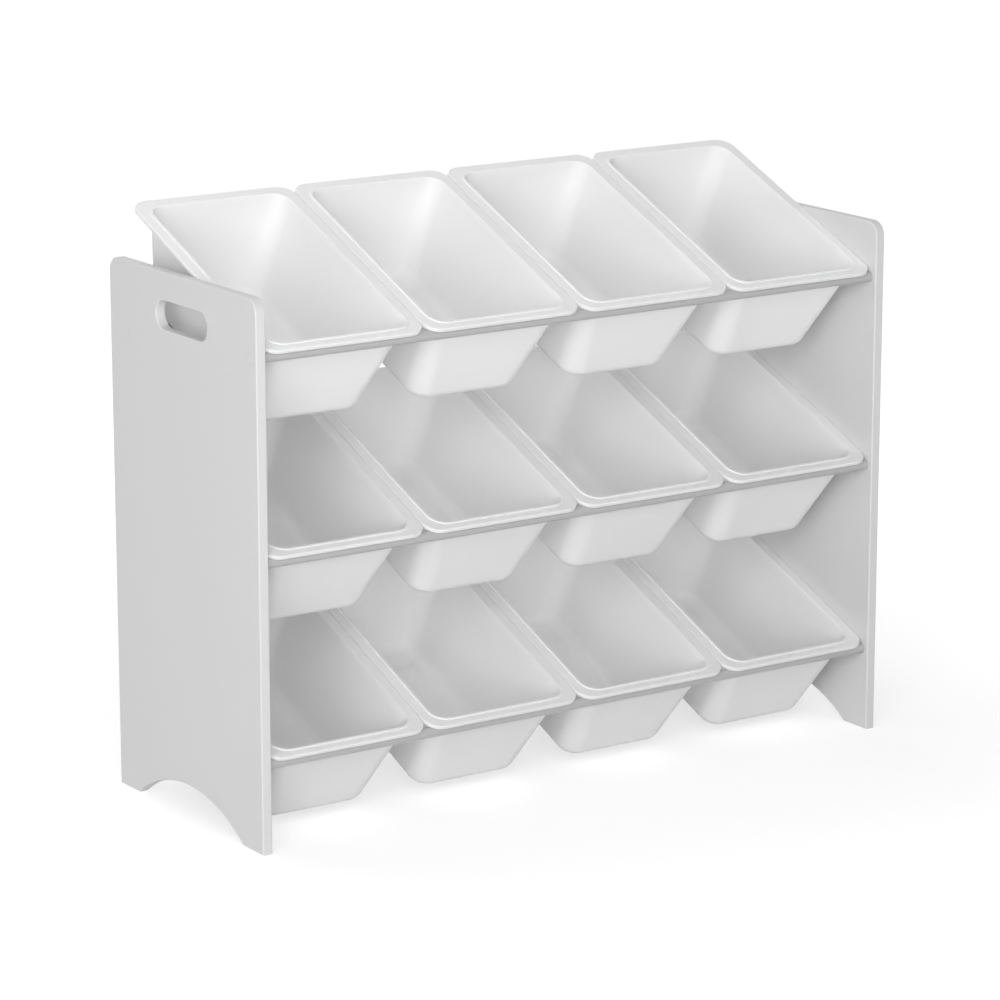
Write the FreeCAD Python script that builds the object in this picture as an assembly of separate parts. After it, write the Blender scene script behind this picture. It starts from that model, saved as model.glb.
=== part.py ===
import FreeCAD, Part
import math
import os

os.makedirs("parts", exist_ok=True)

# A toy organizer: two side panels joined by six steel rods, with three rows of four
# plastic bins hung on the rods, tilted towards the front.
# Millimetres. X to the right, Y to the back, Z up. The origin is on the floor,
# under the middle of the panels' footprint.

# Side panels
overall_width = 845.0
panel_depth = 315.0
panel_height = 610.0
panel_thickness = 12.0
panel_corner_radius = 17.0
panel_edge_round = 1.6
arch_span = 230.0
arch_rise = 37.5
handle_length = 110.0
handle_height = 32.0
handle_top_margin = 32.0

# Rods
rod_diameter = 12.0
rod_wall = 1.0
front_rod_setback = 12.0
bottom_rod_height = 98.0
row_spacing = 223.5
row_names = ["bottom", "middle", "top"]
socket_depth = 5.0
socket_clearance = 0.2

# Screws, inserts and covers at the rod ends
insert_length = 22.0
press_clearance = 0.02
screw_diameter = 5.0
screw_length = 20.0
screw_head_diameter = 11.0
screw_head_height = 2.4
screw_hole_clearance = 0.25
thread_clearance = 0.1
drive_width = 3.0
drive_depth = 1.4
cover_diameter = 15.0
cover_thickness = 1.6
cover_clearance = 0.15

# Bins
columns = 4
bin_gap = 0.8
bin_tilt = 22.5
bin_length = 311.0
bin_depth = 123.0
bin_wall = 1.8
rim_thickness = 2.4
rim_front_overhang = 6.5
rim_side_width = 13.5
rim_corner_radius = 20.0
rim_edge_round = 0.8
lip_drop = 1.8
lip_thickness = 1.8
bead_height = 1.1
bead_width = 1.6
bead_edge_round = 0.5
front_draft = 13.0
side_draft = 9.3
rear_draft = 5.0
bin_corner_radius = 20.0
bin_floor_corner_radius = 24.0
bin_floor_round = 16.0
seat_clearance = 0.3
rear_rod_reach = 240.0

# Two places closer than this are the same place
touch = 1e-4

# Worked out from the sizes above
rod_radius = rod_diameter / 2
inner_width = overall_width - 2 * panel_thickness
inner_half = inner_width / 2
column_pitch = inner_width / columns
rim_width = column_pitch - bin_gap
tilt = math.radians(bin_tilt)
seat_radius = rod_radius + seat_clearance
rim_underside = seat_radius + lip_drop
rim_top = rim_underside + rim_thickness
bin_underside = rim_top - bin_depth
front_slope = math.radians(front_draft)
side_slope = math.tan(math.radians(side_draft))
rear_slope = math.tan(math.radians(rear_draft))


def vec(x, y, z):
    return FreeCAD.Vector(x, y, z)


def save(shapes, name):
    solid = shapes[0] if len(shapes) == 1 else Part.makeCompound(shapes)
    solid.exportStep("parts/" + name + ".step")


def bin_point(rod_y, rod_z, along, above):
    """Turn a place in the bin's tilted frame, measured from the front rod, into Y and Z."""
    y = rod_y + along * math.cos(tilt) - above * math.sin(tilt)
    z = rod_z + along * math.sin(tilt) + above * math.cos(tilt)
    return y, z


def rod_centre(row, rear):
    """Y and Z of a rod's axis. The rear rod lies under the bin's floor."""
    front_y = front_rod_setback - panel_depth / 2
    front_z = bottom_rod_height + row * row_spacing
    if not rear:
        return front_y, front_z
    return bin_point(front_y, front_z, rear_rod_reach, bin_underside - rod_radius - seat_clearance)


rod_centres = {}
for row, row_name in enumerate(row_names):
    rod_centres["front_rod_" + row_name] = rod_centre(row, False)
    rod_centres["rear_rod_" + row_name] = rod_centre(row, True)


# Side panels

def arch_cutter(face_x):
    """The round segment cut from a panel's bottom edge."""
    radius = (arch_span ** 2 / 4 + arch_rise ** 2) / (2 * arch_rise)
    centre = vec(face_x, 0, arch_rise - radius)
    return Part.makeCylinder(radius, panel_thickness, centre, vec(1, 0, 0))


def handle_cutter(face_x):
    """The handle hole: a slot with round ends, near the panel's top."""
    radius = handle_height / 2
    centre_z = panel_height - handle_top_margin - radius
    reach = handle_length / 2 - radius
    front_end = Part.makeCylinder(radius, panel_thickness, vec(face_x, -reach, centre_z), vec(1, 0, 0))
    rear_end = Part.makeCylinder(radius, panel_thickness, vec(face_x, reach, centre_z), vec(1, 0, 0))
    middle = Part.makeBox(panel_thickness, 2 * reach, handle_height)
    middle.translate(vec(face_x, -reach, centre_z - radius))
    return front_end.fuse([rear_end, middle]).removeSplitter()


def runs_along_x(edge):
    start = edge.Vertexes[0].Point
    end = edge.Vertexes[-1].Point
    return abs(abs(end.x - start.x) - panel_thickness) < touch


def side_panel(side):
    """A panel with its rod sockets, screw holes and cover recesses. Side is -1 left, 1 right."""
    face_x = inner_half if side > 0 else -inner_half - panel_thickness
    panel = Part.makeBox(panel_thickness, panel_depth, panel_height)
    panel.translate(vec(face_x, -panel_depth / 2, 0))
    top_edges = [e for e in panel.Edges if runs_along_x(e) and e.Vertexes[0].Z > panel_height / 2]
    panel = panel.makeFillet(panel_corner_radius, top_edges)
    panel = panel.cut(arch_cutter(face_x)).cut(handle_cutter(face_x)).removeSplitter()
    outline = [e for e in panel.Edges if not runs_along_x(e)]
    panel = panel.makeFillet(panel_edge_round, outline)
    outer_x = side * overall_width / 2
    inner_x = side * inner_half
    outward = vec(side, 0, 0)
    recess_depth = cover_thickness + screw_head_height
    cutters = []
    for y, z in rod_centres.values():
        socket = vec(inner_x, y, z)
        cutters.append(Part.makeCylinder(rod_radius + socket_clearance, socket_depth, socket, outward))
        hole_radius = screw_diameter / 2 + screw_hole_clearance
        cutters.append(Part.makeCylinder(hole_radius, panel_thickness, socket, outward))
        recess = vec(outer_x, y, z)
        cutters.append(Part.makeCylinder(cover_diameter / 2, recess_depth, recess, -outward))
    return panel.cut(cutters)


save([side_panel(-1)], "left_side_panel")
save([side_panel(1)], "right_side_panel")


# Rods: steel tubes that end on the floors of the panels' sockets

def rod_tube(y, z):
    length = inner_width + 2 * socket_depth
    start = vec(-length / 2, y, z)
    tube = Part.makeCylinder(rod_radius, length, start, vec(1, 0, 0))
    return tube.cut(Part.makeCylinder(rod_radius - rod_wall, length, start, vec(1, 0, 0)))


for rod_name, (y, z) in rod_centres.items():
    save([rod_tube(y, z)], rod_name)


# Threaded inserts pressed into the rods, screws through the panels, and flush covers

def threaded_insert(side, y, z):
    end = vec(side * (inner_half + socket_depth), y, z)
    inward = vec(-side, 0, 0)
    body = Part.makeCylinder(rod_radius - rod_wall - press_clearance, insert_length, end, inward)
    return body.cut(Part.makeCylinder(screw_diameter / 2 + thread_clearance, insert_length, end, inward))


def hexagon_cutter(width, depth, place, direction):
    points = []
    for corner in range(7):
        angle = math.radians(60 * corner)
        reach = width / math.sqrt(3)
        points.append(vec(place.x, place.y + reach * math.cos(angle), place.z + reach * math.sin(angle)))
    return Part.Face(Part.makePolygon(points)).extrude(direction * depth)


def assembly_screw(side, y, z):
    """A flat-headed screw with a hexagon socket. Its head sits on the recess floor."""
    inward = vec(-side, 0, 0)
    head_top = vec(side * (overall_width / 2 - cover_thickness), y, z)
    head = Part.makeCylinder(screw_head_diameter / 2, screw_head_height, head_top, inward)
    shank = Part.makeCylinder(screw_diameter / 2, screw_head_height + screw_length, head_top, inward)
    return head.fuse(shank).removeSplitter().cut(hexagon_cutter(drive_width, drive_depth, head_top, inward))


def screw_cover(side, y, z):
    outer = vec(side * overall_width / 2, y, z)
    return Part.makeCylinder(cover_diameter / 2 - cover_clearance, cover_thickness, outer, vec(-side, 0, 0))


for side_name, side in (("left", -1), ("right", 1)):
    ends = list(rod_centres.values())
    save([threaded_insert(side, y, z) for y, z in ends], side_name + "_threaded_inserts")
    save([assembly_screw(side, y, z) for y, z in ends], side_name + "_assembly_screws")
    save([screw_cover(side, y, z) for y, z in ends], side_name + "_screw_covers")


# Bins, modelled level with the front rod's axis at the origin, then tilted and hung

def outline(half_width, front, rear, radius, height):
    """A rectangle with round corners, lying level at one height."""
    right_corners = [(half_width, front, -90), (half_width, rear, 0)]
    left_corners = [(-half_width, rear, 90), (-half_width, front, 180)]
    arcs = []
    for x, y, start_angle in right_corners + left_corners:
        centre_x = x - math.copysign(radius, x)
        centre_y = y + radius if y == front else y - radius
        points = []
        for step in (0, 45, 90):
            angle = math.radians(start_angle + step)
            x_there = centre_x + radius * math.cos(angle)
            y_there = centre_y + radius * math.sin(angle)
            points.append(vec(x_there, y_there, height))
        arcs.append(Part.Arc(*points).toShape())
    edges = []
    for index, arc in enumerate(arcs):
        following = arcs[(index + 1) % len(arcs)]
        edges.append(arc)
        edges.append(Part.LineSegment(arc.Vertexes[-1].Point, following.Vertexes[0].Point).toShape())
    return Part.Wire(edges)


def plate(half_width, front, rear, radius, height, thickness):
    return Part.Face(outline(half_width, front, rear, radius, height)).extrude(vec(0, 0, thickness))


def edges_at(solid, height):
    return [e for e in solid.Edges if all(abs(v.Z - height) < touch for v in e.Vertexes)]


def tub_outline(height, inset, radius):
    """The tub's outline at one height, moved inwards by inset. The front wall leans on the rod."""
    front = seat_radius / math.cos(front_slope) - height * math.tan(front_slope)
    fall = rim_underside - height
    half_width = rim_width / 2 - rim_side_width - fall * side_slope
    rear = bin_length - rim_front_overhang - rim_side_width - fall * rear_slope
    return outline(half_width - inset, front + inset, rear - inset, radius - inset, height)


def tub(inset, floor, top):
    """The tapered body between two heights, with its bottom edge rounded."""
    wires = [tub_outline(floor, inset, bin_floor_corner_radius), tub_outline(top, inset, bin_corner_radius)]
    body = Part.makeLoft(wires, True, True)
    return body.makeFillet(bin_floor_round - inset, edges_at(body, floor))


def rim():
    """The flange around the tub, its short turned-down lip, and the bead around the mouth."""
    half_width = rim_width / 2
    front = -rim_front_overhang
    rear = front + bin_length
    lip_edge = rim_underside - lip_drop
    flange = plate(half_width, front, rear, rim_corner_radius, lip_edge, rim_thickness + lip_drop)
    flange = flange.makeFillet(rim_edge_round, edges_at(flange, rim_top))
    lip_half = half_width - lip_thickness
    lip_radius = rim_corner_radius - lip_thickness
    hollow = plate(lip_half, front + lip_thickness, rear - lip_thickness, lip_radius, lip_edge, lip_drop)
    bead_outline = tub_outline(rim_top, -bead_width, bin_corner_radius)
    bead = Part.Face(bead_outline).extrude(vec(0, 0, bead_height))
    bead = bead.makeFillet(bead_edge_round, edges_at(bead, rim_top + bead_height))
    return flange.cut(hollow).fuse(bead)


def level_bin():
    top = rim_top + bead_height
    shell = rim().fuse(tub(0, bin_underside, rim_top)).removeSplitter()
    return shell.cut(tub(bin_wall, bin_underside + bin_wall, top)).removeSplitter()


hung_bin = level_bin()
hung_bin.rotate(vec(0, 0, 0), vec(1, 0, 0), bin_tilt)
for row, row_name in enumerate(row_names):
    rod_y, rod_z = rod_centre(row, False)
    for column in range(columns):
        placed = hung_bin.copy()
        placed.translate(vec(-inner_half + (column + 0.5) * column_pitch, rod_y, rod_z))
        save([placed], "bin_" + row_name + "_" + str(column + 1))
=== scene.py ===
import math

import bpy
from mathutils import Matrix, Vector

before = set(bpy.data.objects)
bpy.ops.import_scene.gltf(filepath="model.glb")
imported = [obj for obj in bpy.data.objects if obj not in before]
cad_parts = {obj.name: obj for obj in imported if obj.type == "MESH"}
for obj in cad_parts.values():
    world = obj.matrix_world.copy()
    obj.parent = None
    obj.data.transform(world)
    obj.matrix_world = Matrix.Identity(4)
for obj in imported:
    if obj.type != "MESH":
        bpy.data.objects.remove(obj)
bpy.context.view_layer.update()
print("frame loaded:", len(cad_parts), "nodes")

opaqueWhite = (1.0, 1.0, 1.0, 1.0)


# helpers for materials

def newMaterial(name):
    material = bpy.data.materials.new(name)
    material.use_nodes = True
    nodes = material.node_tree.nodes
    return material, nodes, material.node_tree.links, nodes["Principled BSDF"]


def objectCoordinates(nodes):
    return nodes.new("ShaderNodeTexCoord").outputs["Object"]


# gives CAD nodes a material, and leaves their meshes as they are
def dress(nodeNames, material):
    for name in nodeNames:
        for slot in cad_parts[name].material_slots:
            slot.material = material


# 1 where a ray comes from the camera, a reflection or a clear body, otherwise 0
def seenDirectly(nodes, links):
    path = nodes.new("ShaderNodeLightPath")
    result = path.outputs["Is Camera Ray"]
    for other in ("Is Glossy Ray", "Is Transmission Ray"):
        either = nodes.new("ShaderNodeMath")
        either.operation = "MAXIMUM"
        links.new(result, either.inputs[0])
        links.new(path.outputs[other], either.inputs[1])
        result = either.outputs["Value"]
    return result


# mottle: the broad unevenness and the fine grain of a painted or moulded surface

mottleLook = {
    "broadDetail": 3.0,
    "fineDetail": 2.0,
}


def buildMottleGroup(look):
    group = bpy.data.node_groups.new("surfaceMottle", "ShaderNodeTree")
    face = group.interface
    face.new_socket("Place", in_out="INPUT", socket_type="NodeSocketVector")
    for name in ("Broad Scale", "Fine Scale", "Low", "High"):
        face.new_socket(name, in_out="INPUT", socket_type="NodeSocketFloat")
    for name in ("Level", "Grain"):
        face.new_socket(name, in_out="OUTPUT", socket_type="NodeSocketFloat")
    nodes, links = group.nodes, group.links
    given = nodes.new("NodeGroupInput")
    result = nodes.new("NodeGroupOutput")
    broad = nodes.new("ShaderNodeTexNoise")
    broad.inputs["Detail"].default_value = look["broadDetail"]
    fine = nodes.new("ShaderNodeTexNoise")
    fine.inputs["Detail"].default_value = look["fineDetail"]
    spread = nodes.new("ShaderNodeMapRange")
    links.new(given.outputs["Place"], broad.inputs["Vector"])
    links.new(given.outputs["Place"], fine.inputs["Vector"])
    links.new(given.outputs["Broad Scale"], broad.inputs["Scale"])
    links.new(given.outputs["Fine Scale"], fine.inputs["Scale"])
    links.new(broad.outputs["Fac"], spread.inputs["Value"])
    links.new(given.outputs["Low"], spread.inputs["To Min"])
    links.new(given.outputs["High"], spread.inputs["To Max"])
    links.new(spread.outputs["Result"], result.inputs["Level"])
    links.new(fine.outputs["Fac"], result.inputs["Grain"])
    return group


mottleGroup = buildMottleGroup(mottleLook)


# a white surface whose shade, gloss and relief vary a little over it
def whiteFinish(name, look):
    material, nodes, links, shader = newMaterial(name)
    place = objectCoordinates(nodes)
    shade = nodes.new("ShaderNodeGroup")
    shade.node_tree = mottleGroup
    gloss = nodes.new("ShaderNodeGroup")
    gloss.node_tree = mottleGroup
    for group, span in ((shade, (0.0, 1.0)), (gloss, look["roughness"])):
        links.new(place, group.inputs["Place"])
        group.inputs["Fine Scale"].default_value = look["grainScale"]
        group.inputs["Low"].default_value = span[0]
        group.inputs["High"].default_value = span[1]
    shade.inputs["Broad Scale"].default_value = look["shadeScale"]
    gloss.inputs["Broad Scale"].default_value = look["glossScale"]
    colours = nodes.new("ShaderNodeMix")
    colours.data_type = "RGBA"
    colours.inputs["A"].default_value = look["colour"] + (1.0,)
    colours.inputs["B"].default_value = look["shadedColour"] + (1.0,)
    links.new(shade.outputs["Level"], colours.inputs["Factor"])
    links.new(colours.outputs["Result"], shader.inputs["Base Color"])
    links.new(gloss.outputs["Level"], shader.inputs["Roughness"])
    bump = nodes.new("ShaderNodeBump")
    bump.inputs["Strength"].default_value = look["grainStrength"]
    bump.inputs["Distance"].default_value = look["grainDepth"]
    links.new(shade.outputs["Grain"], bump.inputs["Height"])
    links.new(bump.outputs["Normal"], shader.inputs["Normal"])
    shader.inputs["IOR"].default_value = look["ior"]
    shader.inputs["Coat Weight"].default_value = look["coat"]
    shader.inputs["Coat Roughness"].default_value = look["coatRoughness"]
    shader.inputs["Subsurface Weight"].default_value = look["frost"]
    shader.inputs["Subsurface Radius"].default_value = (1.0, 1.0, 1.0)
    shader.inputs["Subsurface Scale"].default_value = look["frostDepth"]
    return material


# side panels: sprayed satin white over fibreboard

panelLook = {
    "colour": (0.700, 0.700, 0.700),
    "shadedColour": (0.690, 0.690, 0.690),
    "shadeScale": 3.0,
    "glossScale": 9.0,
    "roughness": (0.42, 0.50),
    "grainScale": 700.0,
    "grainStrength": 0.10,
    "grainDepth": 0.0004,
    "ior": 1.45,
    "coat": 0.0,
    "coatRoughness": 0.2,
    "frost": 0.0,
    "frostDepth": 0.001,
}
dress(["left_side_panel", "right_side_panel"], whiteFinish("panelPaint", panelLook))

# rods: powder coat with a slight orange peel

rodLook = {
    "colour": (0.470, 0.470, 0.470),
    "shadedColour": (0.458, 0.458, 0.458),
    "shadeScale": 6.0,
    "glossScale": 20.0,
    "roughness": (0.26, 0.34),
    "grainScale": 700.0,
    "grainStrength": 0.15,
    "grainDepth": 0.0004,
    "ior": 1.5,
    "coat": 0.15,
    "coatRoughness": 0.15,
    "frost": 0.0,
    "frostDepth": 0.001,
}
rodNames = [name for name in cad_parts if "_rod_" in name]
dress(rodNames, whiteFinish("rodEnamel", rodLook))

# bins: smooth milky moulded plastic

binLook = {
    "colour": (0.915, 0.915, 0.915),
    "shadedColour": (0.905, 0.905, 0.905),
    "shadeScale": 2.0,
    "glossScale": 3.0,
    "roughness": (0.44, 0.50),
    "grainScale": 1200.0,
    "grainStrength": 0.04,
    "grainDepth": 0.0002,
    "ior": 1.49,
    "coat": 0.0,
    "coatRoughness": 0.1,
    "frost": 0.8,
    "frostDepth": 0.004,
}
binNames = [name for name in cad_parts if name.startswith("bin_")]
dress(binNames, whiteFinish("binPlastic", binLook))

# screw covers: satin plastic in the panels' white

coverLook = dict(panelLook, roughness=(0.44, 0.52), shadeScale=20.0)
dress(["left_screw_covers", "right_screw_covers"], whiteFinish("coverPlastic", coverLook))


# bare metal with fine turning marks
def turnedMetal(name, look):
    material, nodes, links, shader = newMaterial(name)
    wave = nodes.new("ShaderNodeTexWave")
    wave.inputs["Scale"].default_value = look["markScale"]
    wave.inputs["Distortion"].default_value = look["markWander"]
    links.new(objectCoordinates(nodes), wave.inputs["Vector"])
    gloss = nodes.new("ShaderNodeMapRange")
    gloss.inputs["To Min"].default_value = look["roughness"][0]
    gloss.inputs["To Max"].default_value = look["roughness"][1]
    links.new(wave.outputs["Fac"], gloss.inputs["Value"])
    links.new(gloss.outputs["Result"], shader.inputs["Roughness"])
    shader.inputs["Base Color"].default_value = look["colour"] + (1.0,)
    shader.inputs["Metallic"].default_value = 1.0
    return material


# screws and inserts at the rods' ends
zincLook = {
    "colour": (0.60, 0.61, 0.62),
    "markScale": 400.0,
    "markWander": 1.5,
    "roughness": (0.28, 0.42),
}
brassLook = {
    "colour": (0.65, 0.48, 0.22),
    "markScale": 500.0,
    "markWander": 1.5,
    "roughness": (0.25, 0.40),
}
dress(["left_assembly_screws", "right_assembly_screws"], turnedMetal("zincSteel", zincLook))
dress(["left_threaded_inserts", "right_threaded_inserts"], turnedMetal("insertBrass", brassLook))
print("materials assigned")


# floor: lights the object as pale matt paper does, looks white, and keeps the shadow

floorLook = {
    "size": 60.0,
    "bounce": 0.82,  # how much light it sends back to the object
    "colour": 0.60,  # how strongly the shadow shows on it
    "nearGlow": 0.60,  # close to the object, where the lamps light it too
    "farGlow": 0.80,
    "nearReach": 0.35,
    "farReach": 1.6,
    "roughness": 0.9,
    "gloss": 0.1,
}


def makeFloor(look):
    bpy.ops.object.select_all(action="DESELECT")
    bpy.ops.mesh.primitive_plane_add(size=look["size"], location=(0.0, 0.0, 0.0))
    floor = bpy.context.active_object
    floor.name = "studioFloor"
    material, nodes, links, shader = newMaterial("floorWhite")
    shader.inputs["Roughness"].default_value = look["roughness"]
    shader.inputs["Specular IOR Level"].default_value = look["gloss"]
    seen = seenDirectly(nodes, links)
    shade = nodes.new("ShaderNodeMapRange")
    shade.inputs["To Min"].default_value = look["bounce"]
    shade.inputs["To Max"].default_value = look["colour"]
    links.new(seen, shade.inputs["Value"])
    links.new(shade.outputs["Result"], shader.inputs["Base Color"])
    reach = nodes.new("ShaderNodeVectorMath")
    reach.operation = "LENGTH"
    links.new(objectCoordinates(nodes), reach.inputs[0])
    level = nodes.new("ShaderNodeMapRange")
    level.interpolation_type = "SMOOTHSTEP"
    level.inputs["From Min"].default_value = look["nearReach"]
    level.inputs["From Max"].default_value = look["farReach"]
    level.inputs["To Min"].default_value = look["nearGlow"]
    level.inputs["To Max"].default_value = look["farGlow"]
    links.new(reach.outputs["Value"], level.inputs["Value"])
    glow = nodes.new("ShaderNodeMath")
    glow.operation = "MULTIPLY"
    links.new(seen, glow.inputs[0])
    links.new(level.outputs["Result"], glow.inputs[1])
    shader.inputs["Emission Color"].default_value = opaqueWhite
    links.new(glow.outputs["Value"], shader.inputs["Emission Strength"])
    floor.data.materials.append(material)


makeFloor(floorLook)


# light: a pale room, broad soft lamps from the camera's side and a weak one from above and behind

lightLook = {
    "room": 0.32,
    "backdrop": 1.0,
    "lamps": {
        "sideLamp": {
            "place": (-2.4, -3.4, 1.2),
            "aim": (0.0, 0.0, 0.32),
            "size": 4.0,
            "power": 140.0,
        },
        "leftLamp": {
            "place": (-3.7, -2.1, 1.4),
            "aim": (0.0, 0.0, 0.32),
            "size": 3.0,
            "power": 18.0,
        },
        "rearLamp": {
            "place": (-0.3, 1.3, 2.8),
            "aim": (0.0, 0.0, 0.5),
            "size": 2.4,
            "power": 20.0,
        },
    },
}


def makeRoomLight(look):
    world = bpy.data.worlds.new("paleRoom")
    bpy.context.scene.world = world
    world.use_nodes = True
    nodes, links = world.node_tree.nodes, world.node_tree.links
    lit = nodes["Background"]
    lit.inputs["Color"].default_value = opaqueWhite
    lit.inputs["Strength"].default_value = look["room"]
    backdrop = nodes.new("ShaderNodeBackground")
    backdrop.inputs["Color"].default_value = opaqueWhite
    backdrop.inputs["Strength"].default_value = look["backdrop"]
    choose = nodes.new("ShaderNodeMixShader")
    links.new(seenDirectly(nodes, links), choose.inputs["Fac"])
    links.new(lit.outputs["Background"], choose.inputs[1])
    links.new(backdrop.outputs["Background"], choose.inputs[2])
    links.new(choose.outputs["Shader"], nodes["World Output"].inputs["Surface"])


def makeLamp(name, look):
    light = bpy.data.lights.new(name, "AREA")
    light.shape = "DISK"
    light.size = look["size"]
    light.energy = look["power"]
    lamp = bpy.data.objects.new(name, light)
    lamp.location = look["place"]
    aim = Vector(look["aim"]) - Vector(look["place"])
    lamp.rotation_euler = aim.to_track_quat("-Z", "Y").to_euler()
    bpy.context.scene.collection.objects.link(lamp)


makeRoomLight(lightLook)
for lampName, lampLook in lightLook["lamps"].items():
    makeLamp(lampName, lampLook)


# camera: a long lens from the front left, a little above

cameraLook = {
    "place": (-2.5713, -3.7870, 1.4297),
    "yaw": 34.096,  # degrees to the right of straight back
    "pitch": 13.803,  # degrees down
    "focalPixels": 4109.0,
    "framePixels": 1000.0,
    "sensor": 36.0,
    "farthest": 200.0,
}


def makeCamera(look):
    data = bpy.data.cameras.new("photoCamera")
    data.sensor_width = look["sensor"]
    data.lens = look["focalPixels"] / look["framePixels"] * look["sensor"]
    data.clip_end = look["farthest"]
    camera = bpy.data.objects.new("photoCamera", data)
    camera.location = look["place"]
    camera.rotation_euler = (math.radians(90.0 - look["pitch"]), 0.0, math.radians(-look["yaw"]))
    bpy.context.scene.collection.objects.link(camera)
    bpy.context.scene.camera = camera


makeCamera(cameraLook)
bpy.context.scene.view_settings.view_transform = "Standard"
print("studio ready")
